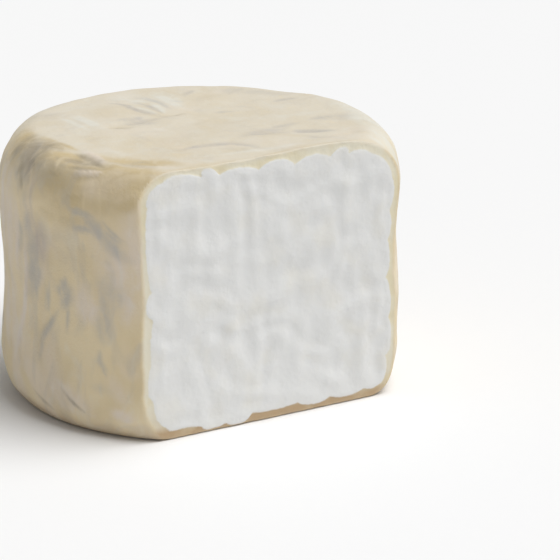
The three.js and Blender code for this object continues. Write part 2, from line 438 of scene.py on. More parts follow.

# Marks on the side, the top and the shoulder: marks that ripening left, and painted shade in the crease
# layer, with a few painted highlights and painted shade in other layers where noted: the layer, the half
# width in millimetres, the strength, and the places that the mark runs through, in millimetres.
# The crease layer is painted shade in folds, cracks and dents, and on the shoulder; it also presses the
# creases into the rind.
GREY, BLOOM, BLUSH, CREASE_SHADE, RUBBED = "grey", "bloom", "blush", "crease_shade", "rubbed"
SIDE_MARKS = (
    # Grey mould, and painted shade in the dent on the left shoulder.
    (GREY, 3.4, 1.0, ((-36, 8.3, 58.4), (-38.8, 5.4, 57.2), (-41, 2.6, 55.2), (-43.3, -2, 52.4))),
    (GREY, 1.8, 0.5, ((-43.7, -1.5, 53), (-43.9, -1.5, 49), (-43.9, -1, 46))),
    (GREY, 1.0, 0.85, ((-41.1, -16.4, 49.6), (-39.8, -19.4, 49.6), (-38.4, -22, 49))),
    (GREY, 0.9, 0.95, ((-40.9, -16.6, 46), (-39.6, -19.5, 46.3), (-38.4, -22, 46))),
    (GREY, 2.0, 0.9, ((-39.6, -20, 48.8), (-38.4, -22, 47), (-36.5, -24.9, 43.8))),
    (GREY, 2.1, 0.75, ((-38.3, -22.2, 46), (-36.3, -25.1, 43.2), (-33.3, -28.7, 39.8))),
    (GREY, 0.9, 0.7, ((-38.3, -22.2, 48.6), (-37, -24.2, 46.2), (-35.5, -26.3, 44.6), (-34.2, -27.8, 43.7))),
    (GREY, 1.0, 0.75, ((-37.9, -22.9, 45.2), (-36.2, -25.2, 42.8), (-34, -28, 40.6))),
    (GREY, 4.8, 0.85, ((-43.5, -5.5, 45), (-43.3, -5, 41), (-43.5, -4.2, 35))),
    (GREY, 2.6, 1.0, ((-43.5, -4.5, 38), (-43.5, -3.2, 33), (-43.5, -2.4, 28))),
    (GREY, 2.0, 0.35, ((-43.9, 2, 40), (-43.8, 2, 34), (-43.6, 2, 28))),
    (GREY, 2.2, 0.9, ((-41.2, -14.1, 33.4), (-41.3, -14.2, 30.5), (-41.7, -13, 27.5))),
    (GREY, 1.1, 0.9, ((-41.8, -12.4, 27.6), (-42.3, -9.8, 24), (-42.7, -6, 19.6), (-43.2, -4.6, 13.5))),
    (GREY, 0.9, 0.8, ((-42.6, -9.3, 32), (-42.6, -8.2, 25.6))),
    (GREY, 0.9, 0.6, ((-41.2, -14.9, 28.4), (-41.4, -14.4, 23))),
    (GREY, 4.4, 0.5, ((-37.4, -22.8, 36), (-36, -25, 32), (-36.4, -24.6, 26))),
    (GREY, 1.6, 0.6, ((-35.7, -25.5, 34), (-35.2, -26.2, 31), (-35.6, -25.7, 28.5))),
    (GREY, 1.8, 0.6, ((-37.6, -22.8, 33), (-37.2, -23.5, 30), (-36.6, -24.3, 27.5))),
    (GREY, 2.0, 0.6, ((-37.9, -22.4, 29), (-37.8, -22.6, 25), (-37.7, -22.9, 21))),
    (GREY, 1.8, 0.5, ((-36.7, -24.2, 27), (-36.8, -24.2, 22))),
    (GREY, 1.0, 0.6, ((-38, -22.5, 21), (-38, -22.3, 17.6), (-36.9, -23.8, 15.2))),
    (GREY, 1.6, 0.4, ((-39.5, -19.5, 12), (-36, -24.5, 11))),
    (BLUSH, 6.0, 0.5, ((-39.4, -19.7, 50), (-37.5, -23, 43), (-36, -25, 35), (-36.5, -24.5, 25))),
    (BLUSH, 5.0, 0.9, ((-42.6, 8, 53), (-43, 8, 43), (-43.2, 7.5, 32))),
    (BLUSH, 2.4, 0.8, ((-43.7, 3.5, 50), (-43.5, 3.5, 40), (-43.6, 3.5, 30))),
    (BLUSH, 1.6, 0.7, ((-33.2, -28.8, 47), (-32.6, -29.4, 39), (-32.6, -29.4, 31))),
    (BLUSH, 2.4, 0.6, ((-36.4, -24, 15), (-35.4, -25.5, 11), (-34, -27.2, 8))),
    (BLUSH, 1.2, 0.8, ((-36.6, -24.4, 43.4), (-35.9, -25.6, 42.6), (-35.2, -26.5, 41.3))),
    (BLUSH, 1.8, 0.8, ((-36.6, -24.2, 37.5), (-35.8, -25.4, 36), (-35.2, -26.2, 34))),
    (BLUSH, 2.5, 0.9, ((-42.4, 10.5, 30), (-42.6, 10, 20), (-43.3, 8, 13))),
    (BLUSH, 1.1, 1.0, ((-43.8, -0.5, 44), (-43.7, -1, 34), (-43.5, 0.5, 25), (-43.8, 3, 17), (-43.9, 6, 10))),
    (BLUSH, 3.6, 0.9, ((-37, -24, 42), (-35, -26.7, 39), (-33.8, -28, 34))),
    (BLUSH, 3.2, 0.85, ((-39.8, -18.8, 34), (-39.6, -19, 30), (-39.4, -19.6, 26))),
    (BLUSH, 2.6, 0.8, ((-34.2, -27.4, 36), (-34.3, -27.3, 31), (-34.5, -27, 26))),
    (BLUSH, 3.0, 0.8, ((-42.6, -9.6, 11.5), (-41.9, -12.5, 8.9), (-40.2, -17.2, 7), (-38.5, -20, 6))),
    (BLUSH, 1.8, 0.9, ((-36.5, -23.6, 6.4), (-34.8, -25.8, 6), (-32.9, -28, 5.4))),
    (RUBBED, 4.5, 0.9, ((-37.5, 16, 56), (-40, 10, 56), (-42, 6, 54.5))),
    (RUBBED, 3.6, 1.0, ((-36.5, 8, 58.4), (-38.8, 4, 57.9), (-40.5, 0, 57), (-41.5, -4, 56.5))),
    (RUBBED, 4.2, 1.0, ((-39.5, 3, 57.6), (-38.8, -4, 58), (-37.9, -9, 58.3), (-37, -14.5, 58.2))),
    (RUBBED, 3.4, 1.0, ((-38, -12, 58), (-36, -18, 58), (-34, -21.5, 58.2), (-31.5, -25, 58.4))),
    (RUBBED, 3.6, 1.0, ((-34, -21, 58), (-31.5, -24, 58.3), (-28.8, -26.6, 58.5), (-26.5, -29, 58.4))),
    (RUBBED, 3.0, 1.0, ((-38, -16, 56.5), (-35.5, -20.5, 57), (-33, -24, 57), (-30, -28, 57))),
    # Tan along the top's cut edge; it also paints shade over the lit rounded edge.
    (RUBBED, 2.4, 0.5, ((-29, -29, 58), (-23, -30, 59), (-14, -30, 59), (-4, -30, 59))),
    (RUBBED, 5.0, 1.0, ((-42.5, -2, 54.5), (-41.5, -9, 55), (-39.3, -15.5, 55.5), (-36, -22, 55.5))),
    (RUBBED, 5.0, 1.0, ((-38, -18, 56), (-34.5, -24.5, 56), (-30, -29, 56.5), (-26, -31, 57))),
    (RUBBED, 4.0, 0.8, ((-42.8, -8, 50), (-41, -15, 51), (-37, -23.5, 52), (-33, -28.6, 52))),
    (RUBBED, 0.9, 1.0, ((-42.2, -12.9, 52), (-40.5, -17.5, 52.8), (-38.5, -21.2, 53.4))),
    (CREASE_SHADE, 0.8, 0.3, ((-42.1, -11.3, 26.1), (-42.9, -6.6, 21.6), (-43.2, -4.5, 17), (-43.4, -6.4, 10))),
    (CREASE_SHADE, 0.5, 0.7, ((-42.1, -12.1, 9.8), (-41.3, -14, 7.8), (-40.4, -16.2, 6.2), (-39.2, -18.5, 5))),
    (CREASE_SHADE, 0.6, 0.6, ((-43.7, -2.5, 7), (-42.5, -5.7, 4.5), (-41.8, -9.2, 3.4))),
    (CREASE_SHADE, 3.2, 1.0, ((-35.4, 8.2, 58.6), (-38.4, 5.4, 57.3), (-40.8, 2.8, 55.4), (-43, -1.6, 52.8))),
    # Broad painted shade along the shoulder's front, where it tilts up towards the light.
    (CREASE_SHADE, 4.0, 0.45, ((-42.2, -1, 56), (-41.5, -8, 56.3), (-39.5, -14, 56.8), (-37.5, -18.5, 57.2))),
    (CREASE_SHADE, 3.6, 0.42, ((-38.5, -16, 57), (-35, -22, 57.6), (-31, -27, 57.5), (-26.5, -30, 57))),
    (CREASE_SHADE, 1.5, 0.5, ((-40.7, -11.6, 56.5), (-39.3, -15.6, 56.6), (-37.6, -18.9, 57), (-35.3, -22, 57.6))),
)
TOP_MARKS = (
    # Painted shade in and under the fold at the front of the shoulder.
    (CREASE_SHADE, 1.3, 0.9, ((-34.5, -6.5, 58.7), (-33.9, -9.5, 58.6), (-34.1, -14, 58.5), (-34.4, -19.7, 58.6))),
    (CREASE_SHADE, 1.0, 0.8, ((-40, -10.6, 57.6), (-38.1, -13.4, 58), (-36.4, -16.8, 58.3), (-34.2, -20, 58.6))),
    (CREASE_SHADE, 2.4, 0.8, ((-38.8, -6.5, 57.8), (-36, -10.5, 58.3), (-34.6, -16.5, 58.4))),
    (CREASE_SHADE, 1.4, 0.65, ((-38, -10, 58), (-36.4, -13.2, 58.3), (-35, -18, 58.5))),
    # Pink down, and a painted highlight along the fold's lip and its ridge.
    (BLUSH, 1.4, 1.0, ((-32.3, -6, 59), (-32.2, -10.5, 59), (-32.8, -14, 59), (-33, -18, 59))),
    (BLUSH, 0.9, 0.9, ((-38.9, -14.4, 57.3), (-37.6, -16.8, 57.8), (-35.6, -20.3, 58.1))),
    (BLOOM, 6.5, 0.5, ((-6, 32, 59), (1, 30, 59), (5, 24, 59), (2.5, 17, 59))),
    (BLOOM, 1.1, 0.95, ((-4.2, 22.5, 59), (-3.2, 18, 59), (-3, 13, 59))),
    (BLOOM, 1.1, 0.9, ((1.2, 23.5, 59), (0.4, 18.5, 59), (-0.6, 13.5, 59))),
    (BLOOM, 1.5, 0.75, ((-4, 31.2, 59), (-1.4, 28, 59), (0.5, 24.6, 59), (1.5, 21.7, 59))),
    (BLOOM, 2.2, 0.85, ((6.1, 32, 59), (6.1, 27.4, 59), (5.7, 22.3, 59), (5.1, 15.5, 59))),
    (BLOOM, 1.3, 0.7, ((9, 30, 59), (8.3, 24.4, 59), (6.7, 17.5, 59))),
    (BLOOM, 1.4, 0.9, ((-19.4, 22, 59), (-19.8, 12.4, 59), (-20.3, 5, 59))),
    (BLOOM, 1.1, 0.8, ((-23.1, 22, 59), (-23.1, 14.2, 59), (-23, 7, 59))),
    # White down, and a painted highlight along the lit right shoulder.
    (BLOOM, 4.0, 1.0, ((32.5, -29.5, 46), (32, -29.2, 54), (31.5, -26, 57), (33, -21, 58), (35, -17, 58))),
    (BLOOM, 5.0, 0.9, ((32, -25, 57), (36, -17, 57.3), (38, -11, 57.5), (39, 0, 57.5), (38, 10, 57.5))),
    (BLOOM, 1.6, 0.6, ((-14.5, -22.5, 59), (-6.2, -24.5, 59), (2.4, -26, 59), (11.9, -27, 59))),
    (BLOOM, 2.5, 0.5, ((18, -2, 59), (24, -4, 59), (30, -4, 59))),
    (GREY, 0.9, 0.9, ((0.4, 29.9, 59), (2.4, 27.2, 59), (3.1, 22.5, 59), (2.2, 15.5, 59))),
    (GREY, 0.9, 0.8, ((-1.6, 26, 59), (-0.8, 20.3, 59), (-1, 13.5, 59))),
    (GREY, 1.1, 0.9, ((-7.2, 27.9, 59), (-5.4, 24, 59), (-5.6, 20, 59), (-3.6, 12.2, 59))),
    (GREY, 1.0, 0.7, ((10, 23.6, 59), (12.9, 26.3, 59), (15.6, 28.4, 59))),
    (GREY, 0.8, 0.7, ((5.6, 22.8, 59), (7.2, 21.2, 59), (8.6, 20.2, 59))),
    # Grey mould, and painted shade below the crease that runs across the top.
    (GREY, 2.4, 0.7, ((-14.5, 9.5, 59), (-11, 9.2, 59), (-8.3, 9.4, 59), (-4, 10.8, 59))),
    (GREY, 2.0, 0.5, ((-13, 7.5, 59), (-9.5, 7.2, 59), (-5, 8, 59))),
    (GREY, 3.5, 0.35, ((34, -22, 57.5), (37.5, -12, 57.5), (39, 0, 57.5))),
    (GREY, 1.3, 0.7, ((9, 8.3, 59), (12.4, 8.1, 59), (15.2, 7.6, 59))),
    (GREY, 1.3, 0.7, ((25.1, 9, 59), (28.9, 9.9, 59), (31.4, 8.8, 59))),
    (GREY, 3.2, 0.7, ((3.6, -14, 59), (8.8, -13.2, 59), (14, -14, 59))),
    (GREY, 1.4, 0.7, ((10.8, -11.3, 59), (14.7, -10.8, 59), (20, -9.7, 59))),
    (GREY, 1.5, 0.9, ((14.6, -14.2, 59), (18.3, -17.3, 59), (22.8, -19.5, 59))),
    (GREY, 1.4, 0.5, ((14, -19, 59), (16.7, -22.9, 59), (20.6, -24, 59))),
    (GREY, 2.8, 0.6, ((25, -9.2, 59), (29.7, -9.1, 59), (34.4, -9.9, 58.7))),
    (GREY, 1.4, 0.7, ((-15, -14, 59), (-8, -16, 59), (-2.6, -17.4, 59), (0, -21.2, 59), (0.8, -26, 59))),
    (GREY, 2.5, 0.5, ((-27.8, 22.4, 59), (-24.2, 23.7, 59), (-20.2, 24.6, 59))),
    (GREY, 3.0, 0.5, ((20, 24, 59), (28, 18, 59), (31, 12, 59))),
    (RUBBED, 4.0, 0.35, ((10, 21, 59), (15, 22, 59), (20, 19, 59))),
    (RUBBED, 3.5, 0.25, ((13, 5, 59), (19, 2, 59))),
    (RUBBED, 3.0, 0.25, ((-12, 17, 59), (-15, 21, 59))),
    (RUBBED, 1.8, 0.35, ((-19, 5.5, 59), (-14, 7.5, 59), (-9, 9.8, 59), (0, 11, 59))),
    (CREASE_SHADE, 0.9, 0.45, ((-18.8, 7.3, 59), (-17, 6.3, 59), (-15.6, 5.3, 59), (-12, 5.4, 59))),
    (CREASE_SHADE, 0.7, 0.4, ((-4.2, 11.7, 59), (-1.5, 11.2, 59), (0, 10.4, 59), (2.2, 11.1, 59), (5, 10.9, 59))),
)
SHOULDER_MARKS = (
    # Rubbed tan, and painted shade on the left shoulder, which faces away from the light; the crease strokes
    # below paint shade in its dent.
    (RUBBED, 4.0, 1.0, ((-33, 19, 57.6), (-36.4, 15, 57.4), (-38.4, 11, 56.8), (-40.4, 8, 55.8))),
    (RUBBED, 2.6, 0.9, ((-34, 10, 58.8), (-35.2, 3.5, 58.8), (-35, 0, 58.9), (-34.4, -4, 58.9))),
    (RUBBED, 2.8, 1.0, ((-32.8, -11, 59), (-31, -15.6, 59), (-27.6, -17.5, 58.8), (-24.5, -19.5, 58.8))),
    (RUBBED, 2.8, 0.85, ((-27, -18, 58.8), (-24, -20.5, 58.8), (-21.5, -23.5, 58.8), (-19.5, -27.5, 58.9))),
    (CREASE_SHADE, 3.6, 0.75, ((-34.2, 12.5, 58.4), (-36.8, 10.5, 57.8), (-38.8, 8.5, 57), (-40.6, 7, 55.8))),
    (CREASE_SHADE, 3.2, 1.0, ((-35, 8.6, 58.7), (-37.6, 7.6, 57.8), (-39.3, 6.2, 56.7))),
    (CREASE_SHADE, 3.0, 0.9, ((-35.2, 6, 58.7), (-36.2, 1.5, 58.5), (-35.8, -3, 58.6))),
    (CREASE_SHADE, 3.4, 0.75, ((-37.6, 3.5, 58), (-39.4, 0, 57.4), (-40.6, -3.5, 56.8), (-42, -5, 55))),
    (CREASE_SHADE, 2.4, 0.7, ((-39.4, -3.5, 57.6), (-40.2, -7, 57.5), (-40.1, -10, 57.6), (-38.8, -12.5, 57.7))),
    (CREASE_SHADE, 2.8, 0.45, ((-32.8, -17.5, 58.8), (-30.4, -19.6, 58.8), (-28, -21.5, 58.8), (-25.8, -25, 58.8))),
    (BLUSH, 4.0, 0.5, ((-38, -16, 55), (-35, -22, 55), (-32, -26.5, 55.5))),
    # Painted shade over the lit rounded edge along the top of the cut.
    (RUBBED, 2.2, 0.5, ((-8, -30, 59), (4, -30, 59), (16, -30, 59), (28, -29.5, 58))),
    # White down, and a painted highlight along the lit right shoulder.
    (BLOOM, 4.5, 0.85, ((35, -25, 53), (39.5, -17, 53.5), (42.4, -8, 53), (43, 2, 52.5))),
    (GREY, 3.0, 0.3, ((34, -24, 57.5), (38.5, -14, 57), (40, -3, 57))),
)
MARKS = SIDE_MARKS + TOP_MARKS + SHOULDER_MARKS
LAYERS = (GREY, BLOOM, BLUSH, CREASE_SHADE, RUBBED)
MARKS_SEED = 7

# Marks of the same kinds on the far side, placed by a seeded draw: the layer, the usual half width
# in millimetres, the strength and how many.
FAR_MARKS = (
    (RUBBED, 4.5, 0.8, 9),
    (BLUSH, 3.6, 0.9, 10),
    (GREY, 1.4, 1.0, 13),
    (GREY, 2.6, 0.9, 12),
    (BLOOM, 1.2, 0.7, 7),
    # Painted shade in small cracks.
    (CREASE_SHADE, 0.8, 0.9, 9),
)
FAR_START = -40  # the azimuth where the far side starts, in degrees
FAR_SWEEP = 200
FAR_PLACES = (0.36, 0.63)  # from the shoulder to the foot, as shares of the section
FAR_HEADINGS = (0.9, 2.2)  # in radians, with straight down at half pi
FAR_SPREAD = (0.7, 1.3)  # of the half widths
FAR_STRENGTH = (0.7, 1)
FAR_STEPS = (3, 6)
FAR_STEP = 3.2 * MM
FAR_TURN = 0.3  # how far the heading may change at each step, in radians
SECTION_RADII = 3.2  # the length of half of the section, in radii, closely enough

# Relief of the marks, in millimetres.
DOWN_LIFT = 0.12
CREASE_DEPTH = 0.22


class Marks:
    """Layers of marks on the verts of the rind: for each layer, one strength for each vert."""

    # A stroke is a row of soft dabs.
    DAB_STEP = 0.5  # from one dab to the next, in half widths
    DAB_REACH = 2.2  # where a dab ends, in half widths
    END_WIDTH = 0.6  # the width at a stroke's ends, as a share of that at its middle
    FADE = 0.4  # the power of a half sine: the lower, the later a stroke fades towards its ends

    # A mark is one main stroke with slighter ones beside it, which stray from it.
    MAIN_STRENGTH = 0.85
    SLIGHT_COUNT = 3
    SHIFT = 0.45  # how far a slighter stroke lies from the main one, in half widths
    PLACE_STRAY = 0.25  # how far each of its places strays besides
    START = (-0.2, 0.35)  # where it starts, as a share of the way to its second place
    END = (0.65, 1.2)  # where it ends, as a share of the way to its last place
    SLIGHT_WIDTH = (0.35, 0.65)  # in half widths
    LEAST_WIDTH = 0.6 * MM
    SLIGHT_STRENGTH = (0.7, 1)

    def __init__(self, bm, verts, seed):
        self.verts = verts
        self.rng = random.Random(seed)
        self.layers = {name: [0.0] * len(bm.verts) for name in LAYERS}
        self.tree = finder(verts)

    def stroke(self, values, half_width, strength, path):
        """Brushes one soft stroke along a path into a list of values. It fades towards both ends."""
        lengths = [(b - a).length for a, b in zip(path, path[1:])]
        done = 0
        for (start, end), run in zip(zip(path, path[1:]), lengths):
            dabs = max(2, math.ceil(run / (self.DAB_STEP * half_width)))
            for i in range(dabs + 1):
                middling = math.sin(math.pi * (done + run * i / dabs) / sum(lengths))
                width = half_width * (self.END_WIDTH + (1 - self.END_WIDTH) * middling)
                firmness = strength * max(middling, 0) ** self.FADE
                near = self.tree.find_range(start.lerp(end, i / dabs), self.DAB_REACH * width)
                for _, index, away in near:
                    values[index] = max(values[index], firmness * math.exp(-((away / width) ** 2)))
            done += run

    def brush(self, layer, half_width, strength, path):
        """Brushes a mark as one broad stroke with a few slighter ones beside it."""
        rng = self.rng
        values = self.layers[layer]
        self.stroke(values, half_width, strength * self.MAIN_STRENGTH, path)
        for _ in range(self.SLIGHT_COUNT):
            shift = Vector(rng.gauss(0, self.SHIFT * half_width) for _ in range(3))
            strays = (Vector(rng.gauss(0, self.PLACE_STRAY * half_width) for _ in range(3)) for _ in path)
            strayed = [point + shift + stray for point, stray in zip(path, strays)]
            strayed[0] = strayed[0].lerp(strayed[1], rng.uniform(*self.START))
            strayed[-1] = strayed[-2].lerp(strayed[-1], rng.uniform(*self.END))
            width = max(half_width * rng.uniform(*self.SLIGHT_WIDTH), self.LEAST_WIDTH)
            self.stroke(values, width, strength * rng.uniform(*self.SLIGHT_STRENGTH), strayed)


def wander(shape, rng, azimuth, share, heading, steps):
    """A path that wanders over the far side of the rind from a place on it."""
    path = []
    for _ in range(steps):
        path.append(on_rind(shape, azimuth, share))
        heading += rng.uniform(-FAR_TURN, FAR_TURN)
        azimuth += FAR_STEP * math.cos(heading) / (shape.diameter / 2)
        share += FAR_STEP * math.sin(heading) / (SECTION_RADII * shape.diameter / 2)
    return path


def mark_rind(shape, marks):
    """Brushes the named marks, and others like them by a seeded draw on the far side of the wheel."""
    for layer, half_width, strength, places in MARKS:
        marks.brush(layer, half_width * MM, strength, [Vector(place) * MM for place in places])
    rng = marks.rng
    for layer, half_width, strength, count in FAR_MARKS:
        for i in range(count):
            azimuth = math.radians(FAR_START + FAR_SWEEP * (i + rng.uniform(0.1, 0.9)) / count)
            share = rng.uniform(*FAR_PLACES)
            heading = rng.uniform(*FAR_HEADINGS)
            width = half_width * rng.uniform(*FAR_SPREAD) * MM
            path = wander(shape, rng, azimuth, share, heading, rng.randint(*FAR_STEPS))
            marks.brush(layer, width, strength * rng.uniform(*FAR_STRENGTH), path)


def press_folds(marks):
    """Presses the folds and creases into the rind and lets the down stand a little proud of it."""
    depths = [0.0] * len(marks.layers[CREASE_SHADE])
    heights = depths[:]
    for half_width, depth, places in FOLDS:
        path = [Vector(place) * MM for place in places]
        marks.stroke(depths if depth > 0 else heights, half_width * MM, abs(depth), path)
    for vert in marks.verts:
        crease_shade = marks.layers[CREASE_SHADE][vert.index]
        down = marks.layers[BLOOM][vert.index]
        lift = heights[vert.index] - depths[vert.index] + DOWN_LIFT * down - CREASE_DEPTH * crease_shade
        vert.co += vert.normal * lift * MM * smoothstep(vert.co.z, 0, FLAT_BASE)


# ---------------------------------------------------------------- materials

# Where the rind's colour changes, in millimetres above the base, and how far noise frays that.
TOP_FROM = 54.5
TOP_TO = 58.8
TOP_FRAY = 6
FOOT_FROM = 4.5
FOOT_TO = 0.3
FOOT_FRAY = 4
SIDE_FADE = 0.7  # how far the side's patches fade towards the top

# Noise on the rind: its sizes in millimetres, and how far it frays the marks.
CLOUD_SIZE = 13
MOTTLE_SIZE = 3.6
GRAIN_SIZE = 0.6
DRAWN_UP = (1, 1, 0.55)  # draws the clouds and the mottle out upwards
MOTTLE_FRAY = 1.5
GRAIN_FRAY = 0.3
MARK_FULL = 0.95  # the strength at which a mark covers fully

# Soft patches on the rind: the noise's scale across and up, the size in millimetres, the detail, the
# distortion, and where in the noise a patch starts and where it is full.
WORN = (1, 0.7, 19, 2, 0.8, 0.45, 0.7)
FLUSHED = (1, 0.5, 16, 3, 1, 0.5, 0.68)
FAINT_MOULD = (1.1, 0.6, 10, 3, 1.2, 0.52, 0.74)
PEACHY = (1, 1, 15, 2, 0.8, 0.42, 0.7)

# How much of the colour under it each colour hides at most.
MARK_COVER = {RUBBED: 1.0, BLUSH: 0.85, GREY: 0.85, BLOOM: 0.8, CREASE_SHADE: 0.86}
WORN_COVER = 0.4
FLUSHED_COVER = 0.55
FOOT_COVER = 0.7
SIDE_MOULD_COVER = 0.36
TOP_MOULD_COVER = 0.2
PEACHY_COVER = 0.22
DOWN_COVER = 0.22
GRAIN_COVER = 0.16
GRAIN_PALENESS = 0.04

# The rind where it is cut through, and the curd.
PATCH_DETAIL = 2
BAND_PATCH_SIZE = 7  # in millimetres
DAMP_FROM = 3.8  # the height below which the cut rind is damp in patches, in millimetres
DAMP_TO = 1.2
FAINT_DAMP_FROM = 11
FAINT_DAMP_TO = 2
FAINT_DAMP = 0.3
DAMP_COVER = 0.85
CREAMY_COVER = 0.15
SEAM_FRAY = 0.3  # how far fine noise frays the seams between rind, cut rind and paste, in millimetres

# Fine relief, as bump: sizes in millimetres, and shares of the whole bump.
DOWN_SIZE = 0.45
DOWN_SHARE = 0.35
PORE_SIZE = 1.6
PORE_SHARE = 0.65
CELL_SIZE = 1.3
CELL_SHARE = 0.3
CRUMB_SIZE = 0.5
CRUMB_SHARE = 0.2
BUMP = 0.22 * MM
RIND_ROUGHNESS = 0.86
CURD_GLOSS = 0.22  # how much less rough the moist curd is than the rind

# What is the same all over the cheese.
CHEESE_FINISH = {
    "Subsurface Weight": 0.12,
    "Subsurface Radius": (1, 0.93, 0.82),
    "Subsurface Scale": 1.5 * MM,
    "Sheen Weight": 0.12,
    "Sheen Roughness": 0.5,
    "Specular IOR Level": 0.35,
}


class Value:
    """One output of a shader node. Maths on values adds Math nodes."""

    def __init__(self, shader, socket):
        self.shader = shader
        self.socket = socket

    def maths(self, operation, *others):
        inputs = dict(enumerate((self, *others)))
        return self.shader.node("ShaderNodeMath", {"operation": operation}, inputs)

    def __add__(self, other):
        return self.maths("ADD", other)

    __radd__ = __add__

    def __mul__(self, other):
        return self.maths("MULTIPLY", other)

    __rmul__ = __mul__

    def __sub__(self, other):
        return self.maths("SUBTRACT", other)

    def __rsub__(self, other):
        return self.maths("MULTIPLY_ADD", -1, other)

    def step(self, low, high):
        """0 below low, 1 above high, and smooth between them."""
        settings = {"interpolation_type": "SMOOTHSTEP"}
        inputs = {"Value": self, "From Min": low, "From Max": high}
        return self.shader.node("ShaderNodeMapRange", settings, inputs)


class Shader:
    """The node tree of one material."""

    def __init__(self, name):
        self.material = bpy.data.materials.new(name)
        self.material.use_nodes = True
        self.tree = self.material.node_tree
        self.surface = self.tree.nodes["Principled BSDF"]

    def node(self, kind, settings=None, inputs=None, output=0):
        """Adds a node, with its settings first and then the values or links of its sockets."""
        node = self.tree.nodes.new(kind)
        for name, value in (settings or {}).items():
            setattr(node, name, value)
        for key, value in (inputs or {}).items():
            self.feed(node.inputs[key], value)
        return Value(self, node.outputs[output])

    def feed(self, socket, value):
        """Links a value to a socket, or sets the socket to a plain number, vector or colour."""
        if isinstance(value, Value):
            self.tree.links.new(value.socket, socket)
        elif socket.type == "RGBA" and len(value) == 3:
            socket.default_value = (*value, 1)
        else:
            socket.default_value = value

    def attribute(self, name):
        """A layer of values on the verts."""
        return self.node("ShaderNodeAttribute", {"attribute_name": name}, output=2)

    def place(self, stretch=(1, 1, 1)):
        """The place on the object in millimetres, stretched along its axes."""
        origin = self.node("ShaderNodeTexCoord", output=3)
        scale = tuple(part / MM for part in stretch)
        return self.node("ShaderNodeVectorMath", {"operation": "MULTIPLY"}, {0: origin, 1: scale})

    def clouds(self, place, size, detail=3.0, roughness=0.5, distortion=0.0):
        """Smooth noise from 0 to 1 that changes about every `size` millimetres."""
        inputs = {
            "Vector": place,
            "Scale": 1 / size,
            "Detail": detail,
            "Roughness": roughness,
            "Distortion": distortion,
        }
        return self.node("ShaderNodeTexNoise", inputs=inputs)

    def patches(self, across, up, size, detail, distortion, start, full):
        """Soft patches of noise, 0 outside them and 1 inside."""
        place = self.place((across, across, up))
        return self.clouds(place, size, detail=detail, distortion=distortion).step(start, full)

    def mix(self, share, first, second):
        """A colour between two colours."""
        settings = {"data_type": "RGBA", "clamp_factor": True}
        return self.node("ShaderNodeMix", settings, {0: share, 6: first, 7: second}, output=2)

    def bump(self, height, distance):
        """A normal bent by a height, which `distance` metres make full."""
        return self.node("ShaderNodeBump", inputs={"Height": height, "Distance": distance})


def rind_colour(shader, colours):
    """The rind's colour: tan to cream with height, clouded, with the marks of its moulds, and painted shade
    in its creases, folds and dents.
    """
    place = shader.place()
    height = shader.node("ShaderNodeSeparateXYZ", inputs={0: place}, output=2)
    upright = shader.place(DRAWN_UP)
    clouds = shader.clouds(upright, CLOUD_SIZE, detail=2, distortion=0.6)
    mottle = shader.clouds(upright, MOTTLE_SIZE, detail=3, distortion=0.7)
    grain = shader.clouds(place, GRAIN_SIZE, detail=2)
    fray = (mottle - 0.5) * MOTTLE_FRAY + (grain - 0.5) * GRAIN_FRAY

    def mark(name, low=0.02):
        return (shader.attribute(name) * (1 + fray)).step(low, MARK_FULL) * MARK_COVER[name]

    topness = (height + (mottle - 0.5) * TOP_FRAY).step(TOP_FROM, TOP_TO)
    sideways = 1 - topness * SIDE_FADE
    shade = shader.mix(topness, colours.side, colours.top)
    shade = shader.mix(shader.patches(*WORN) * sideways * WORN_COVER, shade, colours.rubbed)
    shade = shader.mix(shader.patches(*FLUSHED) * sideways * FLUSHED_COVER, shade, colours.blush)
    shade = shader.mix(mark(RUBBED, 0), shade, colours.rubbed)
    shade = shader.mix(mark(BLUSH), shade, colours.blush)
    foot = (height + (clouds - 0.5) * FOOT_FRAY).step(FOOT_FROM, FOOT_TO)
    shade = shader.mix(foot * FOOT_COVER, shade, colours.foot)

    mould = shader.mix(clouds.step(0.4, 0.6) * sideways, colours.grey, colours.lilac)
    mould_cover = SIDE_MOULD_COVER - topness * (SIDE_MOULD_COVER - TOP_MOULD_COVER)
    shade = shader.mix(shader.patches(*FAINT_MOULD) * mould_cover, shade, mould)
    shade = shader.mix(shader.patches(*PEACHY) * topness * PEACHY_COVER, shade, colours.rubbed)
    down = (mottle + (clouds - 0.5) * 0.6).step(0.5, 0.75)
    shade = shader.mix(down * DOWN_COVER, shade, colours.bloom)
    shade = shader.mix(mark(GREY), shade, mould)
    shade = shader.mix(mark(BLOOM), shade, colours.bloom)
    # Painted shade: darkens folds, cracks, dents and parts of the shoulder.
    shade = shader.mix(mark(CREASE_SHADE), shade, colours.crease_shade)
    return shader.mix((grain - 0.5) * GRAIN_COVER + GRAIN_PALENESS, shade, colours.bloom)


def cut_colour(shader, colours, paste):
    """The cut face's colour: white paste inside the pale rind that the knife cut through."""
    place = shader.place()
    height = shader.node("ShaderNodeSeparateXYZ", inputs={0: place}, output=2)
    patches = shader.clouds(place, BAND_PATCH_SIZE, detail=PATCH_DETAIL)
    band = shader.mix(patches.step(0.4, 0.6), colours.band, colours.pale_band)
    damp = height.step(DAMP_FROM, DAMP_TO) * patches.step(0.15, 0.55)
    damp = damp + height.step(FAINT_DAMP_FROM, FAINT_DAMP_TO) * FAINT_DAMP
    band = shader.mix(damp * DAMP_COVER, band, colours.foot)
    curd = shader.mix(patches.step(0.45, 0.75) * CREAMY_COVER, colours.curd, colours.band)
    return shader.mix(paste, band, curd)


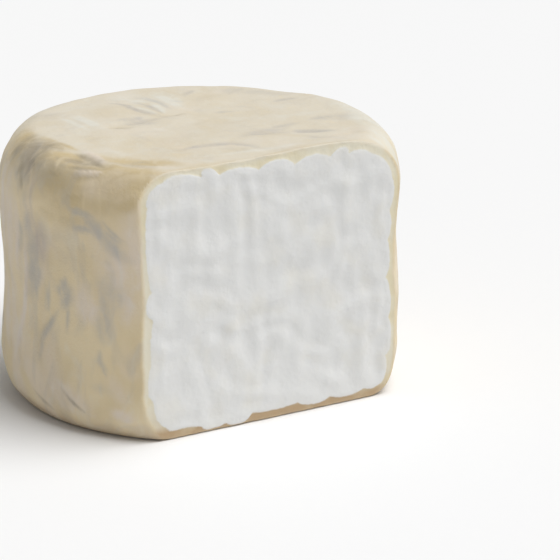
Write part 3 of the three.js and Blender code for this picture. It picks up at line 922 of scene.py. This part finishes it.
def cheese_material(colours):
    """The cheese's material: rind outside, pale rind where it is cut through, and white paste."""
    shader = Shader("cheese")
    place = shader.place()
    crumb = shader.clouds(place, CRUMB_SIZE, detail=3)
    cut = (shader.attribute("cut") + (crumb - 0.5) * SEAM_FRAY).step(-0.25, 1.0)
    paste = (shader.attribute("paste") + (crumb - 0.5) * SEAM_FRAY).step(-0.22, 0.22)
    shade = shader.mix(cut, rind_colour(shader, colours), cut_colour(shader, colours, paste))

    down = shader.clouds(place, DOWN_SIZE, detail=4, roughness=0.65)
    pores = shader.clouds(place, PORE_SIZE, detail=3, roughness=0.6)
    cell_inputs = {"Vector": place, "Scale": 1 / CELL_SIZE, "Smoothness": 0.6}
    cells = shader.node("ShaderNodeTexVoronoi", {"feature": "SMOOTH_F1"}, cell_inputs)
    rind_height = down * DOWN_SHARE + pores * PORE_SHARE
    curd_height = cells * CELL_SHARE + crumb * CRUMB_SHARE
    relief = rind_height + cut * (curd_height - rind_height)
    shader.feed(shader.surface.inputs["Base Color"], shade)
    shader.feed(shader.surface.inputs["Roughness"], RIND_ROUGHNESS - cut * CURD_GLOSS)
    shader.feed(shader.surface.inputs["Normal"], shader.bump(relief, BUMP))
    for name, value in CHEESE_FINISH.items():
        shader.feed(shader.surface.inputs[name], value)
    return shader.material


FLOOR_GRAIN_SIZE = 2.5  # in millimetres
FLOOR_GRAIN_COLOUR = (0.7, 0.7, 0.7)
FLOOR_GRAIN_COVER = 0.04
FLOOR_ROUGHNESS = 0.9


def floor_material(look):
    """The floor's plain pale paint, with a faint grain."""
    shader = Shader("studio_floor")
    grain = shader.clouds(shader.place(), FLOOR_GRAIN_SIZE, detail=2)
    shade = shader.mix(grain * FLOOR_GRAIN_COVER, look.floor, FLOOR_GRAIN_COLOUR)
    shader.feed(shader.surface.inputs["Base Color"], shade)
    shader.feed(shader.surface.inputs["Roughness"], FLOOR_ROUGHNESS)
    return shader.material


# ---------------------------------------------------------------- operators and panel


def add_layer(mesh, name, values):
    """Adds a layer of one number for each vert, which a material can read by its name."""
    layer = mesh.attributes.new(name, "FLOAT", "POINT")
    layer.data.foreach_set("value", values)


def piece_from(bm, name, material):
    """Makes a shown object from a bmesh."""
    mesh = bpy.data.meshes.new(name)
    for face in bm.faces:
        face.smooth = True
    bm.to_mesh(mesh)
    bm.free()
    mesh.materials.append(material)
    piece = bpy.data.objects.new(name, mesh)
    bpy.context.collection.objects.link(piece)
    return piece


class CHEESE_OT_wheel(bpy.types.Operator):
    """Make the cut cheese wheel with its rind and curd"""

    bl_idname = "cheese.wheel"
    bl_label = "Cheese Wheel"

    def execute(self, context):
        shape = context.scene.cheese_shape
        bm = bmesh.new()
        bmesh.ops.create_cube(bm, size=2)
        bmesh.ops.subdivide_edges(bm, edges=bm.edges[:], cuts=shape.grid - 1, use_grid_fill=True)
        shape_wheel(bm, shape)
        edge, face = cut_wheel(bm, shape)
        bmesh.ops.recalc_face_normals(bm, faces=bm.faces[:])
        bm.verts.index_update()
        inside = measure_paste(shape, edge, face)
        raise_curds(shape, face, inside)
        from_edge = measure_edge(bm, edge, inside)
        round_edge(bm, edge)
        bm.normal_update()
        marks = Marks(bm, [vert for vert in bm.verts if vert.index not in inside], MARKS_SEED)
        mark_rind(shape, marks)
        press_folds(marks)

        paste = [inside.get(i, ON_RIND) for i in range(len(bm.verts))]
        piece = piece_from(bm, "cut_cheese", cheese_material(context.scene.cheese_colours))
        for name, values in (("paste", paste), ("cut", from_edge), *marks.layers.items()):
            add_layer(piece.data, name, values)
        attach(piece, BODY)
        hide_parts(NODE)
        return {"FINISHED"}


# The camera: where it stands, and which pixel of the picture shows the middle of the wheel.
CAMERA_AZIMUTH = math.radians(-30.74)
CAMERA_ELEVATION = math.radians(16.72)
CAMERA_DISTANCE = 662 * MM
CAMERA_AIM = Vector((0, 0, 30 * MM))
CAMERA_FOCUS = 2984  # focal length, in pixels of the picture
AIM_PIXEL = (199.9, 251.8)
FILM_WIDTH = 36  # in millimetres

KEY_SPREAD = math.radians(50)
KEY_SOURCE = (0.35, -0.3, 1)
FLOOR_HALF_SIDE = 4  # in metres


def add_camera():
    """Stands the camera in its place and turns it so that the aim shows at its pixel."""
    data = bpy.data.cameras.new("camera")
    data.sensor_width = FILM_WIDTH
    data.lens = CAMERA_FOCUS / PICTURE_SIDE * FILM_WIDTH
    camera = bpy.data.objects.new("camera", data)
    flat = math.cos(CAMERA_ELEVATION)
    back = Vector(
        (math.sin(CAMERA_AZIMUTH) * flat, -math.cos(CAMERA_AZIMUTH) * flat, math.sin(CAMERA_ELEVATION))
    )
    camera.location = CAMERA_AIM + back * CAMERA_DISTANCE
    across = (AIM_PIXEL[0] - PICTURE_SIDE / 2) / CAMERA_FOCUS
    up = (PICTURE_SIDE / 2 - AIM_PIXEL[1]) / CAMERA_FOCUS
    turn = math.asin(across / math.hypot(across, up, 1) / flat)
    tilt = -math.atan2(math.sin(CAMERA_ELEVATION), flat * math.cos(turn)) - math.atan(up)
    camera.rotation_euler = (math.pi / 2 + tilt, 0, CAMERA_AZIMUTH + turn)
    bpy.context.collection.objects.link(camera)
    bpy.context.scene.camera = camera


def add_lamp(name, strength, spread, source):
    """Lights the stage evenly from the direction of a point, with shadows as soft as the spread is wide."""
    data = bpy.data.lights.new(name, "SUN")
    data.energy = strength
    data.angle = spread
    lamp = bpy.data.objects.new(name, data)
    lamp.rotation_euler = Vector(source).to_track_quat("Z", "Y").to_euler()
    bpy.context.collection.objects.link(lamp)


class CHEESE_OT_stage(bpy.types.Operator):
    """Make the pale floor, the soft light and the camera"""

    bl_idname = "cheese.stage"
    bl_label = "Studio Stage"

    def execute(self, context):
        look = context.scene.cheese_stage
        bm = bmesh.new()
        bmesh.ops.create_grid(bm, x_segments=8, y_segments=8, size=FLOOR_HALF_SIDE)
        floor = piece_from(bm, "floor", floor_material(look))
        world = bpy.data.worlds.new("studio")
        world.use_nodes = True
        background = world.node_tree.nodes["Background"]
        background.inputs["Color"].default_value = (1, 1, 1, 1)
        background.inputs["Strength"].default_value = look.fill
        context.scene.world = world
        add_lamp("overhead", look.key, KEY_SPREAD, KEY_SOURCE)
        add_camera()
        context.scene.view_settings.view_transform = "Standard"
        return {"FINISHED"}


class CHEESE_PT_sidebar(bpy.types.Panel):
    """Lists the parts of the scene with their settings"""

    bl_idname = "CHEESE_PT_sidebar"
    bl_label = "Cut Cheese Wheel"
    bl_space_type = "VIEW_3D"
    bl_region_type = "UI"
    bl_category = "Cheese"

    def draw(self, context):
        scene = context.scene
        groups = (
            ("cheese.wheel", (scene.cheese_shape, scene.cheese_colours)),
            ("cheese.stage", (scene.cheese_stage,)),
        )
        for operator, settings in groups:
            box = self.layout.box()
            box.operator(operator)
            for group in settings:
                for name in group.__annotations__:
                    box.prop(group, name)


CLASSES = (CheeseShape, CheeseColours, CheeseStage, CHEESE_OT_wheel, CHEESE_OT_stage, CHEESE_PT_sidebar)


def register():
    """Adds the properties, the operators and the panel to Blender."""
    for cls in CLASSES:
        bpy.utils.register_class(cls)
    bpy.types.Scene.cheese_shape = bpy.props.PointerProperty(type=CheeseShape)
    bpy.types.Scene.cheese_colours = bpy.props.PointerProperty(type=CheeseColours)
    bpy.types.Scene.cheese_stage = bpy.props.PointerProperty(type=CheeseStage)


def unregister():
    """Takes them out again."""
    del bpy.types.Scene.cheese_stage
    del bpy.types.Scene.cheese_colours
    del bpy.types.Scene.cheese_shape
    for cls in reversed(CLASSES):
        bpy.utils.unregister_class(cls)


def main():
    """Makes everything."""
    register()
    bpy.ops.cheese.wheel()
    bpy.ops.cheese.stage()


if __name__ == "__main__":
    main()
